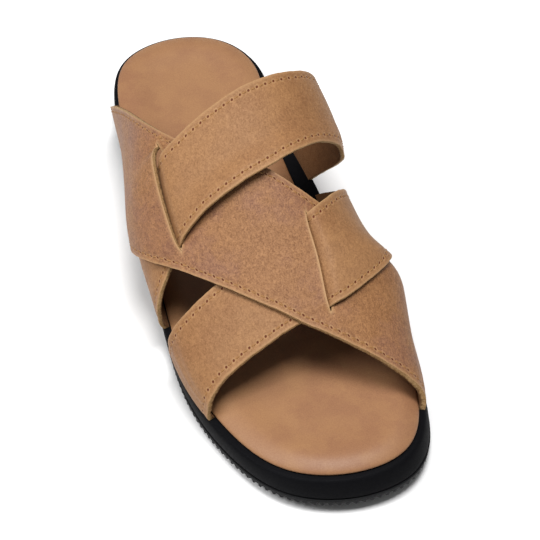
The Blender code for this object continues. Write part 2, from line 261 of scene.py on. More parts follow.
@dataclass(frozen=True)
class Last:
    """The foot form under the straps, with the plan and the heights of the sole."""

    outline: tuple[OutlineKnot, ...] = table(
        OutlineKnot,
        (0.0, 0.0), (10.0, -26.0), (34.0, -35.2), (80.0, -38.7), (125.0, -42.3), (170.0, -45.2),
        (205.0, -44.6), (239.0, -36.0), (266.0, -19.5), (277.2, 9.0), (270.5, 34.8), (250.5, 46.5),
        (215.0, 49.0), (175.0, 44.5), (135.0, 35.0), (95.0, 31.2), (55.0, 32.9), (30.0, 35.0), (10.0, 25.8),
    )
    ledge: tuple[Ledge, ...] = table(
        Ledge,
        (0.0, 2.4, 2.4), (30.0, 2.2, 2.6), (60.0, 2.6, 5.4), (90.0, 3.0, 8.8), (115.0, 3.1, 10.2),
        (135.0, 3.2, 8.2), (160.0, 3.2, 4.8), (215.0, 3.6, 3.3), (245.0, 3.4, 3.0), (277.0, 2.9, 2.8),
    )
    wedge: tuple[Wedge, ...] = table(
        Wedge,
        (0.0, 21.0), (60.0, 20.0), (120.0, 17.4), (180.0, 15.0), (220.0, 14.8), (250.0, 16.2),
        (279.0, 18.8),
    )
    sections: tuple[LastSection, ...] = table(
        LastSection,
        (20.0, -3.0, 98.0, 14.0, 10.0, 0.7, 0.8),
        (60.0, 0.5, 102.0, 11.5, 13.0, 0.7, 0.8),
        (100.0, 4.5, 101.0, 18.0, 13.4, 0.7, 0.8),
        (120.0, 5.7, 95.0, 24.0, 15.5, 0.69, 0.78),
        (130.0, 6.1, 91.0, 27.0, 13.9, 0.667, 0.752),
        (140.0, 6.5, 86.5, 28.3, 5.6, 0.64, 0.72),
        (160.0, 7.0, 76.5, 26.0, 3.0, 0.61, 0.68),
        (180.0, 7.0, 66.5, 21.5, 9.8, 0.62, 0.67),
        (190.0, 6.35, 61.9, 19.5, 20.5, 0.631, 0.678),
        (200.0, 5.3, 57.6, 18.0, 18.5, 0.64, 0.69),
        (220.0, 3.0, 49.5, 16.0, 8.2, 0.65, 0.71),
        (260.0, 3.0, 34.5, 7.0, 2.5, 0.66, 0.76),
    )
    lateral_rise: float = 0.52
    lateral_crown: float = 0.6
    toe_spring: float = 4.0
    spring_start: float = 203.0
    spring_end: float = 279.0
    heel_lift: float = 1.4
    heel_lift_end: float = 12.0
    waist_rise: float = 1.5
    waist_start: float = 92.0
    waist_end: float = 152.0
    lean_x: float = 1.4
    lean_along: float = 3.2
    arch_tuck: float = 4.2
    arch_along: float = 98.0
    arch_length: float = 42.0
    dense: int = 2400
    wrap: int = 4

    def sides(self) -> tuple[Array, Array]:
        """Lateral and medial side of the outline: a closed cubic curve through its knots, cut at the toe.

        Returns:
            Two arrays of rows (along, x), both from heel to toe.
        """
        knots = np.array(self.outline)
        knots = np.vstack([knots[-self.wrap :], knots, knots[: self.wrap + 1]])
        run = travel(knots)
        at = np.linspace(run[self.wrap], run[-1 - self.wrap], self.dense)
        dense = np.stack([Curve(run, knots[:, k])(at) for k in (0, 1)], axis=1)
        toe = int(np.argmax(dense[:, 0]))
        return dense[: toe + 1], dense[toe:][::-1]

    def ledge_height(self, along: Array) -> Array:
        """Height of the ledge over the floor."""
        return column(self.wedge, "height")(along)

    def ground(self, along: Array) -> Array:
        """Underside of the sole: flat heel and forefoot, raised waist, toe spring and lifted heel edge.

        Args:
            along: distance along the foot.

        Returns:
            Height over the floor.
        """
        spring = np.clip((along - self.spring_start) / (self.spring_end - self.spring_start), 0, None)
        lift = np.clip((self.heel_lift_end - along) / self.heel_lift_end, 0, None)
        waist = np.clip((along - self.waist_start) / (self.waist_end - self.waist_start), 0, 1)
        raised = self.waist_rise * np.sin(np.pi * waist) ** 2
        return self.toe_spring * spring**2 + self.heel_lift * lift**2 + raised

    def point(self, across: Array, along: Array, clear: float) -> Array:
        """Surface of the last: on each side one cubic arch from the ledge up to the crest.

        Args:
            across: place across the foot.
            along: distance along the foot.
            clear: distance of the surface from the footbed and from the outer edge of the ledge.

        Returns:
            Points (x, y, z) of the frame.
        """
        form = {name: column(self.sections, name)(along) for name in LastSection._fields[1:]}
        crest_x = form["crest_x"]
        crest = form["crest_height"]
        foot = self.ledge_height(along) + GAP
        lateral_side, medial_side = self.sides()
        lateral_clear = np.maximum(column(self.ledge, "lateral")(along) - clear, clear)
        medial_clear = np.maximum(column(self.ledge, "medial")(along) - clear, clear)
        lateral = np.interp(along, *lateral_side.T) - lateral_clear
        medial = np.interp(along, *medial_side.T) + medial_clear
        lateral_out = lateral - form["lateral_flare"]
        lateral_over = crest_x - self.lateral_crown * (crest_x - lateral)
        medial_out = medial + form["medial_flare"]
        medial_over = crest_x + form["medial_crown"] * (medial - crest_x)
        lateral_up = foot + self.lateral_rise * (crest - foot)
        medial_up = foot + form["medial_rise"] * (crest - foot)
        near = np.clip(2 * across, 0, 1)
        far = np.clip(2 - 2 * across, 0, 1)
        x = np.where(
            across <= 0.5,
            bezier(lateral, lateral_out, lateral_over, crest_x, near),
            bezier(medial, medial_out, medial_over, crest_x, far),
        )
        z = np.where(
            across <= 0.5,
            bezier(foot, lateral_up, crest, crest, near),
            bezier(foot, medial_up, crest, crest, far),
        )
        return np.stack([AXIS_X + x, HEEL_Y - along, z], axis=-1)

    def normal(self, across: Array, along: Array, clear: float) -> Array:
        """Unit normal of the last, away from the foot: cross product of its two slopes.

        Args:
            across: place across the foot.
            along: distance along the foot.
            clear: as for the surface.

        Returns:
            Unit vectors of the frame.
        """
        turn = 0.001
        move = 0.5
        girth = self.point(np.clip(across + turn, 0, 1), along, clear)
        girth = girth - self.point(np.clip(across - turn, 0, 1), along, clear)
        length = self.point(across, along + move, clear) - self.point(across, along - move, clear)
        normal = unit(np.cross(girth, length))
        return normal if normal[..., 2].mean() > 0 else -normal


class Ring:
    """The footbed outline as an even closed ring: lateral side from heel to toe, then medial side back."""

    def __init__(self, last: Last, half: int) -> None:
        """Reads the outline at even steps and finds its normals.

        Args:
            last: the last whose outline it follows.
            half: steps on each side.
        """
        self.last = last
        self.half = half
        sides = []
        for side in last.sides():
            run = travel(side)
            sides.append(walked(side, run, np.linspace(0, run[-1], half + 1)))
        self.plan = np.vstack([sides[0], sides[1][-2:0:-1]])
        tangent = np.roll(self.plan, -1, axis=0) - np.roll(self.plan, 1, axis=0)
        normal = unit(np.stack([tangent[:, 1], -tangent[:, 0]], axis=1))
        outside = np.sum(normal * (self.plan - self.plan.mean(axis=0)))
        self.normal = normal if outside > 0 else -normal
        self.along = self.plan[:, 0]
        medial = np.arange(2 * half) > half
        lateral_ledge = column(last.ledge, "lateral")(self.along)
        medial_ledge = column(last.ledge, "medial")(self.along)
        self.ledge = np.where(medial, medial_ledge, lateral_ledge)
        tuck = last.arch_tuck * bump_at(self.along - last.arch_along, last.arch_length)
        self.tuck = np.where(medial, tuck, 0.0)

    def at(self, out: Any, lean: float = 0.0) -> Array:
        """Rows (along, x) of the ring moved out and leant, by 0 at the ledge and by 1 at the tread."""
        moved = self.normal * (out + np.zeros_like(self.along) - lean * self.tuck)[:, None]
        return self.plan + moved + lean * np.array([self.last.lean_along, self.last.lean_x])

    @staticmethod
    def placed(plan: Array, height: Array) -> Array:
        """Points (x, y, z) of the frame, from rows (along, x) and the height of each."""
        level = np.broadcast_to(height, plan.shape[:-1])
        return np.stack([AXIS_X + plan[..., 1], HEEL_Y - plan[..., 0], level], axis=-1)

    def across_rows(self, ring: Array, columns: int) -> tuple[Array, Array, Array]:
        """Grid that fills a ring: straight rows from each lateral point to the medial point beside it.

        Args:
            ring: points of the ring.
            columns: steps of each row.

        Returns:
            The grid of points, the share of the way across at each, and the length of each row.
        """
        lateral = ring[: self.half + 1]
        medial = np.roll(ring[::-1], 1, axis=0)[: self.half + 1]
        share = np.linspace(0, 1, columns + 1)[None, :, None]
        grid = lateral[:, None] * (1 - share) + medial[:, None] * share
        span = np.linalg.norm(grid[:, 0] - grid[:, -1], axis=1)[:, None]
        return grid, np.broadcast_to(share[..., 0], grid.shape[:2]), span


def grid_faces(rows: int, columns: int, closed: bool) -> Indices:
    """Quads of a grid, row by row.

    Args:
        rows: number of rows of points.
        columns: points in each row.
        closed: whether each row runs round to its start.

    Returns:
        Four point numbers for each quad.
    """
    index = np.arange(rows * columns).reshape(rows, columns)
    following = np.roll(index, -1, axis=1)
    quads = np.stack([index[:-1], following[:-1], following[1:], index[1:]], axis=-1)
    return (quads if closed else quads[:, :-1]).reshape(-1, 4)


def turn_outwards(mesh: bpy.types.Mesh, weld: bool) -> None:
    """Drops the loose points of a closed mesh and turns its faces outwards.

    Args:
        mesh: the mesh.
        weld: whether its doubles are merged first.
    """
    work = bmesh.new()
    work.from_mesh(mesh)
    if weld:
        bmesh.ops.remove_doubles(work, verts=work.verts, dist=WELD)
    loose = [vertex for vertex in work.verts if not vertex.link_faces]
    bmesh.ops.delete(work, geom=loose, context="VERTS")
    bmesh.ops.recalc_face_normals(work, faces=work.faces)
    work.to_mesh(mesh)
    work.free()


def welded_mesh(name: str, grids: Sequence[tuple[Array, bool]]) -> bpy.types.Mesh:
    """Closed mesh of several grids whose borders fall on each other.

    Args:
        name: the mesh's name.
        grids: each grid of points in millimetres, and whether its rows run round.

    Returns:
        The mesh, with its doubles merged and its faces turned outwards.
    """
    points = []
    faces = []
    start = 0
    for grid, closed in grids:
        faces.append(grid_faces(grid.shape[0], grid.shape[1], closed) + start)
        points.append(grid.reshape(-1, 3) * MM)
        start += grid.shape[0] * grid.shape[1]
    mesh = bpy.data.meshes.new(name)
    mesh.from_pydata(np.vstack(points).tolist(), [], np.vstack(faces).tolist())
    turn_outwards(mesh, True)
    return mesh


def add_piece(name: str, mesh: bpy.types.Mesh, materials: Sequence[bpy.types.Material]) -> bpy.types.Object:
    """Object of a mesh, shaded smooth and riding on the shoe's one body.

    Args:
        name: the piece's name.
        mesh: its mesh, in metres.
        materials: its material slots in order.

    Returns:
        The object.
    """
    for material in materials:
        mesh.materials.append(material)
    mesh.shade_smooth()
    mesh.set_sharp_from_angle(angle=np.radians(SHARP_ANGLE))
    piece = bpy.data.objects.new(name, mesh)
    bpy.context.scene.collection.objects.link(piece)
    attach(piece, BODY)
    log.info("%s: %d points, %d faces", name, len(mesh.vertices), len(mesh.polygons))
    return piece


def linear(code: str) -> tuple[float, float, float, float]:
    """Linear colour of an sRGB hex code, by the standard's own curve.

    Args:
        code: six hex digits after a hash.

    Returns:
        Red, green, blue and alpha.
    """
    parts = np.array([int(code[i : i + 2], 16) for i in (1, 3, 5)]) / 255
    parts = np.where(parts <= 0.04045, parts / 12.92, ((parts + 0.055) / 1.055) ** 2.4)
    return float(parts[0]), float(parts[1]), float(parts[2]), 1.0


def add_node(tree: Tree, kind: str, links: dict[Any, Any], **settings: Any) -> bpy.types.Node:
    """Adds a shader node with its settings and links.

    Args:
        tree: the node tree.
        kind: the node's type, without the words that all of them start with.
        links: for each input, the socket to link to it or the value to set on it.
        **settings: properties of the node.

    Returns:
        The node.
    """
    node = tree.nodes.new("ShaderNode" + kind)
    for name, value in settings.items():
        setattr(node, name, value)
    for key, value in links.items():
        if isinstance(value, bpy.types.NodeSocket):
            tree.links.new(value, node.inputs[key])
        else:
            node.inputs[key].default_value = value
    return node


@dataclass(frozen=True)
class Finish:
    """A surface whose colour drifts in patches and clouds, over a fine grain.

    Colours are sRGB hex codes, and sizes are millimetres on the real surface. Noise gathers round 0.5, so
    each range names the part of it that is spread out from nothing to all.
    """

    name: str
    base: str
    patch: str
    cloud: str
    deep: str
    high: str
    patch_size: float
    cloud_size: float
    grain_size: float
    patch_share: float = 0.6
    cloud_share: float = 0.35
    grain_share: float = 0.25
    grain_depth: float = 0.08
    roughness: float = 0.6
    roughness_spread: float = 0.08
    specular: float = 0.4
    sheen: float = 0.0
    sheen_tint: str = "#ffffff"
    sheen_roughness: float = 0.45
    patch_detail: float = 4.0
    cloud_detail: float = 6.0
    drift_rough: float = 0.6
    drift_range: tuple[float, float] = (0.42, 0.62)
    grain_detail: float = 3.0
    grain_rough: float = 0.65
    fleck_range: tuple[float, float] = (0.36, 0.64)
    gloss_range: tuple[float, float] = (0.3, 0.7)

    def colour(self, tree: Tree, place: Any, grain: Any) -> Any:
        """Base colour, drifting to the patch and cloud colours, then the grain's flecks and the masks.

        Args:
            tree: the material's node tree.
            place: socket of the coordinates.
            grain: socket of the grain's height from 0 to 1.

        Returns:
            Socket of the colour.
        """
        layers: list[tuple[Any, Any]] = []
        drifts = (
            (self.patch, self.patch_size, self.patch_share, self.patch_detail),
            (self.cloud, self.cloud_size, self.cloud_share, self.cloud_detail),
        )
        low, high = self.drift_range
        for tone, size, share, detail in drifts:
            drift = {"Scale": 1 / (size * MM), "Detail": detail, "Roughness": self.drift_rough}
            noise = add_node(tree, "TexNoise", {"Vector": place, **drift}).outputs["Fac"]
            spread = {"Value": noise, "From Min": low, "From Max": high, "To Max": share}
            amount = add_node(tree, "MapRange", spread, interpolation_type="SMOOTHSTEP")
            layers.append((amount.outputs["Result"], linear(tone)))
        low, high = self.fleck_range
        fleck = add_node(tree, "MapRange", {"Value": grain, "From Min": low, "From Max": high})
        tones = {0: fleck.outputs["Result"], 6: linear(self.deep), 7: linear(self.high)}
        layers.append((self.grain_share, add_node(tree, "Mix", tones, data_type="RGBA").outputs[2]))
        shade: Any = linear(self.base)
        for mask, tone in (*layers, *self.masks(tree, place)):
            shade = add_node(tree, "Mix", {0: mask, 6: shade, 7: tone}, data_type="RGBA").outputs[2]
        return shade

    def masks(self, tree: Tree, place: Any) -> list[tuple[Any, Any]]:
        """What lies over the ground: the mask and the colour of each layer, none on a plain finish."""
        return []

    def grain(self, tree: Tree, place: Any) -> Any:
        """Height of the grain from 0 to 1: rough noise of the grain's own size.

        Args:
            tree: the material's node tree.
            place: socket of the coordinates.

        Returns:
            Socket of the height.
        """
        rough = {"Detail": self.grain_detail, "Roughness": self.grain_rough}
        noise = add_node(tree, "TexNoise", {"Vector": place, "Scale": 1 / (self.grain_size * MM), **rough})
        return noise.outputs["Fac"]

    def relief(self, tree: Tree, grain: Any) -> Any:
        """Socket of the height that the bump reads, in millimetres: the grain's share of its depth."""
        deep = add_node(tree, "Math", {0: grain, 1: self.grain_depth}, operation="MULTIPLY")
        return deep.outputs[0]

    def build(self) -> bpy.types.Material:
        """Material with this finish, a little smoother where the grain stands high.

        Returns:
            The material.
        """
        material = bpy.data.materials.new(self.name)
        material.use_nodes = True
        tree = material.node_tree
        shader = tree.nodes["Principled BSDF"]
        place = add_node(tree, "TexCoord", {}).outputs["Object"]
        grain = self.grain(tree, place)
        gloss = {
            "Value": grain,
            "From Min": self.gloss_range[0],
            "From Max": self.gloss_range[1],
            "To Min": self.roughness + self.roughness_spread,
            "To Max": self.roughness - self.roughness_spread,
        }
        rough = add_node(tree, "MapRange", gloss)
        bump = add_node(tree, "Bump", {"Height": self.relief(tree, grain), "Distance": MM, "Strength": 1.0})
        tree.links.new(self.colour(tree, place, grain), shader.inputs["Base Color"])
        tree.links.new(rough.outputs["Result"], shader.inputs["Roughness"])
        tree.links.new(bump.outputs["Normal"], shader.inputs["Normal"])
        shader.inputs["Specular IOR Level"].default_value = self.specular
        shader.inputs["Sheen Weight"].default_value = self.sheen
        shader.inputs["Sheen Tint"].default_value = linear(self.sheen_tint)
        shader.inputs["Sheen Roughness"].default_value = self.sheen_roughness
        return material


@dataclass(frozen=True)
class StrapLeather(Finish):
    """Full-grain cowhide: pebbled grain, paler along cut edges, pierced by the stitch holes. Painted
    highlights lie along the slit lips and round the holes, and painted shade in the holes.

    The pebbles of such a hide are about half as wide. They are drawn coarser here so that they show.
    """

    pebble_size: float = 1.0
    pebble_share: float = 0.5
    pebble_swirl: float = 1.2
    pebble_detail: float = 2.0
    pebble_draw: tuple[float, float, float] = (1.0, 0.6, 0.8)
    # Pale tone of worn cut edges, also the painted highlight by the slit lips and round the stitch holes.
    pale_and_highlight: str = "#b48f66"
    # Painted shade inside the stitch holes.
    hole_shade: str = "#5a2206"
    pitch: float = 4.3
    inset: float = 3.5
    hole_radius: float = 0.6
    # Painted highlight round each stitch hole: its radius and strength.
    hole_highlight_radius: float = 1.35
    hole_highlight_share: float = 0.35
    hole_border: tuple[float, float] = (0.55, 1.25)
    hole_depth: float = 0.25
    # Pale band by the cut edges: wear along the long edges; by the slit lips partly wear and partly painted
    # highlight.
    wear_and_highlight_breadth: float = 1.1
    wear_share: float = 0.5
    lip_wear_and_highlight_share: float = 0.85

    def grain(self, tree: Tree, place: Any) -> Any:
        """Height of the grain from 0 to 1: fine noise with swirling pebbles, drawn out along the foot.

        Args:
            tree: the material's node tree.
            place: socket of the coordinates.

        Returns:
            Socket of the height.
        """
        fine = super().grain(tree, place)
        drawn = add_node(tree, "Mapping", {"Vector": place, "Scale": self.pebble_draw}).outputs[0]
        swirl = {"Vector": drawn, "Detail": self.pebble_detail, "Distortion": self.pebble_swirl}
        pebble = add_node(tree, "TexNoise", {"Scale": 1 / (self.pebble_size * MM), **swirl})
        both = {0: self.pebble_share, 2: fine, 3: pebble.outputs["Fac"]}
        return add_node(tree, "Mix", both, data_type="FLOAT").outputs[0]

    def holes(self, tree: Tree, radius: float) -> Any:
        """Mask of the stitch holes, one at every pitch along a line beside each edge: 1 near its middle.

        Args:
            tree: the material's node tree.
            radius: the radius, at which the mask is about half.

        Returns:
            Socket of the mask.
        """
        run = add_node(tree, "Attribute", {}, attribute_name="run").outputs["Fac"]
        edge = add_node(tree, "Attribute", {}, attribute_name="edge").outputs["Fac"]
        beside = add_node(tree, "Math", {0: run, 1: self.pitch / 2}, operation="PINGPONG").outputs[0]
        away = add_node(tree, "Math", {0: edge, 1: self.inset}, operation="SUBTRACT").outputs[0]
        both = add_node(tree, "CombineXYZ", {0: beside, 1: away}).outputs[0]
        far = add_node(tree, "VectorMath", {0: both}, operation="LENGTH").outputs["Value"]
        low, high = self.hole_border
        border = {"From Min": low * radius, "From Max": high * radius, "To Min": 1.0, "To Max": 0.0}
        mask = add_node(tree, "MapRange", {"Value": far, **border}, interpolation_type="SMOOTHSTEP")
        return mask.outputs["Result"]

    def masks(self, tree: Tree, place: Any) -> list[tuple[Any, Any]]:
        """Pale wear at the cut edges with a painted highlight by the slit lips, painted highlights round
        the stitch holes, and painted shade in the holes.

        Args:
            tree: the material's node tree.
            place: socket of the coordinates, not used here.

        Returns:
            The mask and the colour of each layer.
        """
        # Wear along the edges with a painted highlight by the slit lips; the raised rims round the holes
        # are painted highlights, and the holes painted shade.
        wear_and_highlight_mask = add_node(tree, "Attribute", {}, attribute_name="wear_and_highlight").outputs["Fac"]
        rim_highlights = {0: self.holes(tree, self.hole_highlight_radius), 1: self.hole_highlight_share}
        raised = add_node(tree, "Math", rim_highlights, operation="MULTIPLY").outputs[0]
        pale_and_highlight = linear(self.pale_and_highlight)
        return [(wear_and_highlight_mask, pale_and_highlight), (raised, pale_and_highlight), (self.holes(tree, self.hole_radius), linear(self.hole_shade))]

    def relief(self, tree: Tree, grain: Any) -> Any:
        """Socket of the height in millimetres: the grain's, less the depth of the stitch holes."""
        sunk = {0: self.holes(tree, self.hole_radius), 1: -self.hole_depth, 2: super().relief(tree, grain)}
        return add_node(tree, "Math", sunk, operation="MULTIPLY_ADD").outputs[0]


@dataclass(frozen=True)
class CutEdge(Finish):
    """Edge of the hide, darker from the grain side to the flesh side: partly the brown fibres of the flesh
    side, partly painted shade under the edge.
    """

    # Colour of the flesh-side fibres, darkened as painted shade under the edge.
    fibre_and_shade: str = "#4d3017"
    fibre_size: float = 1.1
    fibre_detail: float = 2.0
    fibre_share: float = 0.85
    fibre_range: tuple[float, float] = (1.0, 1.5)

    def masks(self, tree: Tree, place: Any) -> list[tuple[Any, Any]]:
        """Brown fibres darkened as painted shade, with a ragged border to the pale hide: the depth, moved
        up and down by noise.

        Args:
            tree: the material's node tree.
            place: socket of the coordinates.

        Returns:
            The mask and the colour of the fibres and painted shade.
        """
        depth = add_node(tree, "Attribute", {}, attribute_name="depth").outputs["Fac"]
        loose = {"Vector": place, "Scale": 1 / (self.fibre_size * MM), "Detail": self.fibre_detail}
        frayed = add_node(tree, "TexNoise", loose).outputs["Fac"]
        border = add_node(tree, "Math", {0: depth, 1: frayed}, operation="ADD").outputs[0]
        low, high = self.fibre_range
        spread = {"Value": border, "From Min": low, "From Max": high, "To Max": self.fibre_share}
        amount = add_node(tree, "MapRange", spread, interpolation_type="SMOOTHSTEP")
        return [(amount.outputs["Result"], linear(self.fibre_and_shade))]


# Oiled cowhide, rubbed with wax after tanning: a soft low sheen, rosy patches on a tan ground.
BAND_LEATHER = StrapLeather(
    name="oiled_cowhide_rosy",
    base="#895d3a", patch="#7a5248", cloud="#9a6c43", deep="#56351e", high="#a87b51",
    patch_size=24.0, cloud_size=9.0, grain_size=0.62, grain_depth=0.25,
    patch_share=0.85, grain_share=0.55, roughness=0.57, specular=0.22,
    sheen=0.04, sheen_tint="#e8e0da",
)
# The same hide from a yellower and smoother cut.
STRAP_LEATHER = replace(
    BAND_LEATHER,
    name="oiled_cowhide_tan",
    base="#8d6542", patch="#7e5433", cloud="#9f744a", deep="#593921", high="#ad8157",
    patch_size=34.0, grain_size=0.7, grain_depth=0.15,
    patch_share=0.7, grain_share=0.37, roughness=0.58, specular=0.2,
)
# Knife-cut edge of the hide, left raw: pale, dull fibres with darker specks, darker towards the flesh side,
# partly brown fibre and partly painted shade under the edge.
CUT_EDGE = CutEdge(
    name="raw_hide_edge",
    base="#a58457", patch="#957344", cloud="#b39468", deep="#6a4a2a", high="#c0a078",
    patch_size=9.0, cloud_size=1.6, grain_size=0.7, grain_depth=0.15,
    grain_share=0.45, roughness=0.85, specular=0.2,
)
# Flesh side of the hide: brown nap that swallows the light.
FLESH_SIDE = Finish(
    name="suede_flesh_side",
    base="#6b462b", patch="#573620", cloud="#7b5537", deep="#331f10", high="#86603e",
    patch_size=14.0, cloud_size=3.0, grain_size=0.45, grain_depth=0.12,
    grain_share=0.4, roughness=0.92, specular=0.15, sheen=0.15, sheen_tint="#d8b894",
)
# Smooth calf over the footbed board: close grain and an even tone with a faint polish.
FOOTBED_LEATHER = Finish(
    name="smooth_calf_lining",
    base="#956c4c", patch="#8a6046", cloud="#a07751", deep="#704a2d", high="#a27851",
    patch_size=40.0, cloud_size=12.0, grain_size=0.5, grain_depth=0.03,
    patch_share=0.7, cloud_share=0.4, roughness=0.5, specular=0.35,
)
# Moulded foam: close matt skin with the fine pebble of the mould.
MIDSOLE_FOAM = Finish(
    name="moulded_foam_black",
    base="#07070a", patch="#0c0c0f", cloud="#070709", deep="#040405", high="#111114",
    patch_size=30.0, cloud_size=5.0, grain_size=0.6, grain_depth=0.05, roughness=0.7, specular=0.07,
)
# Moulded rubber: a little harder and shinier than the foam over it.
OUTSOLE_RUBBER = Finish(
    name="moulded_rubber_black",
    base="#0b0b0d", patch="#0f0f11", cloud="#080809", deep="#050506", high="#141416",
    patch_size=24.0, cloud_size=4.0, grain_size=0.5, grain_depth=0.04, specular=0.12,
)
# Waxed polyester thread, dyed to the hide: thin dull strands that hardly stand out from it.
THREAD = Finish(
    name="waxed_thread",
    base="#8f6539", patch="#83592f", cloud="#9a7044", deep="#6a4627", high="#b58b5c",
    patch_size=12.0, cloud_size=1.5, grain_size=0.35, grain_depth=0.06, specular=0.3,
)
# Painted studio board: flat matt white that takes a soft shadow.
FLOOR_PAINT = Finish(
    name="matt_white_board",
    base="#f4f4f4", patch="#f2f2f2", cloud="#f5f5f5", deep="#eeeeee", high="#f8f8f8",
    patch_size=120.0, cloud_size=30.0, grain_size=2.0, grain_depth=0.0,
    grain_share=0.1, roughness=0.9, specular=0.1,
)


@dataclass(frozen=True)
class Outsole:
    """Rubber plate with a toothed lower edge and a ribbed tread."""

    last: Last
    teeth_half: int = 95
    steps_per_tooth: int = 8
    tooth_height: float = 1.9
    tooth_depth: float = 0.9
    tooth_slope: float = 2.4
    tooth_flat: float = 0.2
    notch_top: float = 2.5
    rib_pitch: float = 6.5
    rib_depth: float = 1.1
    rib_margin: float = 5.0
    rib_border: float = 1.0
    tread_in: float = 2.6
    tread_columns: int = 24
    wall: tuple[WallRow, ...] = table(
        WallRow,
        (0.25, -0.35), (0.7, 0.0), (1.5, 0.1), (2.4, 0.15), (3.2, 0.2), (3.9, 0.3), (4.35, 0.25),
        (4.6, -0.15), (4.6, -1.2),
    )

    def notches(self, count: int) -> Array:
        """Notch at each point round the ring: a clipped triangle wave, 0 on a tooth and 1 in a notch."""
        phase = np.arange(count) / self.steps_per_tooth
        return np.clip(self.tooth_slope * np.abs(phase - np.floor(phase) - 0.5) - self.tooth_flat, 0, 1)

    def build(self) -> bpy.types.Object:
        """Wall of rings with notched lower rows, closed by a flat top and a tread of cross ribs.

        The grooves between the ribs are a squared raised cosine along the foot, faded out by the edge.

        Returns:
            The piece.
        """
        last = self.last
        ring = Ring(last, self.teeth_half * self.steps_per_tooth)
        notch = self.notches(len(ring.along))
        rings = []
        for row in self.wall:
            low = np.clip(1 - row.height / self.notch_top, 0, 1)
            plan = ring.at(ring.ledge + row.out - self.tooth_depth * notch * low, 1.0)
            lift = self.tooth_height * notch * low
            rings.append(ring.placed(plan, last.ground(plan[:, 0]) + row.height + lift))
        inner = ring.at(ring.ledge - self.tread_in, 1.0)
        inner_ring = ring.placed(inner, last.ground(inner[:, 0]))
        top, _, _ = ring.across_rows(rings[-1], 1)
        tread, share, span = ring.across_rows(inner_ring, self.tread_columns)
        edge = np.minimum(share, 1 - share) * span
        inside = smooth_step((edge - self.rib_border) / self.rib_margin)
        wave = (0.5 - 0.5 * np.cos(2 * np.pi * (HEEL_Y - tread[..., 1]) / self.rib_pitch)) ** 2
        tread[..., 2] += self.rib_depth * wave * inside
        grids = [(np.stack([inner_ring, *rings]), True), (top, False), (tread, False)]
        mesh = welded_mesh("outsole_toothed", grids)
        piece = add_piece("outsole_toothed", mesh, [OUTSOLE_RUBBER.build()])
        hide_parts("outsole")
        return piece


@dataclass(frozen=True)
class Midsole:
    """Foam wedge with a soft wall and a rounded ledge round the footbed.

    The heights of its wall rows are shares of its height.
    """

    last: Last
    half: int = 220
    foot: float = 4.9
    reach_in: float = 4.0
    wall: tuple[WallRow, ...] = table(
        WallRow,
        (0.0, -1.2), (0.0, -0.7), (0.03, -0.25), (0.09, 0.08), (0.22, 0.3), (0.42, 0.45), (0.62, 0.4),
        (0.78, 0.25), (0.88, 0.02), (0.94, -0.28), (0.98, -0.7), (1.0, -1.3),
    )

    def build(self) -> bpy.types.Object:
        """Wall of rings from the outsole up to the ledge, which runs level in under the footbed.

        Returns:
            The piece.
        """
        last = self.last
        ring = Ring(last, self.half)
        rings = []
        for row in self.wall:
            plan = ring.at(ring.ledge + row.out, 1.0 - row.height)
            low = last.ground(plan[:, 0]) + self.foot
            rings.append(ring.placed(plan, low + row.height * (last.ledge_height(plan[:, 0]) - low)))
        inner = ring.at(-self.reach_in)
        rings.append(ring.placed(inner, last.ledge_height(inner[:, 0])))
        under, _, _ = ring.across_rows(rings[0], 1)
        top, _, _ = ring.across_rows(rings[-1], 1)
        mesh = welded_mesh("midsole_wedge", [(np.stack(rings), True), (under, False), (top, False)])
        piece = add_piece("midsole_wedge", mesh, [MIDSOLE_FOAM.build()])
        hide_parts("midsole")
        return piece


@dataclass(frozen=True)
class Footbed:
    """Leather covered insole: a rounded rim, then a shallow dish with a deeper heel.

    The heights of its rim rows are shares of the height of its edge.
    """

    last: Last
    half: int = 220
    columns: int = 36
    edge_heel: float = 3.0
    edge_toe: float = 4.8
    dish: float = 0.35
    dish_span: float = 45.0
    heel_cup: float = 1.3
    cup_along: float = 44.0
    cup_length: float = 36.0
    cup_start: float = 6.0
    cup_reach: float = 15.0
    rim: tuple[WallRow, ...] = table(
        WallRow,
        (0.0, -0.9), (0.03, -0.35), (0.1, -0.02), (0.2, 0.03), (0.31, -0.25), (0.43, -0.95), (0.57, -2.0),
        (0.7, -3.2), (0.82, -4.5), (0.915, -5.9), (0.975, -7.3), (1.0, -8.8), (0.985, -10.8),
        (0.935, -13.4), (0.87, -16.6), (0.81, -20.5),
    )

    def build(self) -> bpy.types.Object:
        """Rings up the edge, over the rim and down into the dish, which rows from side to side fill.

        The dish sinks as a squared sine from side to side, and the heel as a bell curve along the foot.

        Returns:
            The piece.
        """
        last = self.last
        ring = Ring(last, self.half)
        longest = ring.along.max()
        rings = []
        for row in self.rim:
            plan = ring.at(row.out)
            along = plan[:, 0]
            tall = self.edge_heel + (self.edge_toe - self.edge_heel) * smooth_step(along / longest)
            share = smooth_step((-row.out - self.cup_start) / self.cup_reach)
            sunk = share * self.heel_cup * bump_at(along - self.cup_along, self.cup_length)
            rings.append(ring.placed(plan, last.ledge_height(along) + GAP + row.height * tall - sunk))
        under, _, _ = ring.across_rows(rings[0], 1)
        top, share, span = ring.across_rows(rings[-1], self.columns)
        top[..., 2] -= self.dish * (np.sin(np.pi * share) ** 2 * smooth_step(span / self.dish_span))
        mesh = welded_mesh("footbed_covered", [(np.stack(rings), True), (under, False), (top, False)])
        piece = add_piece("footbed_covered", mesh, [FOOTBED_LEATHER.build()])
        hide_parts("footbed")
        return piece


REAR_SLIT = Slit(0.277, 122.0, 168.5, 2.8, 1.4)
FRONT_SLIT = Slit(0.57, 172.5, 214.5, 1.4, 1.4)


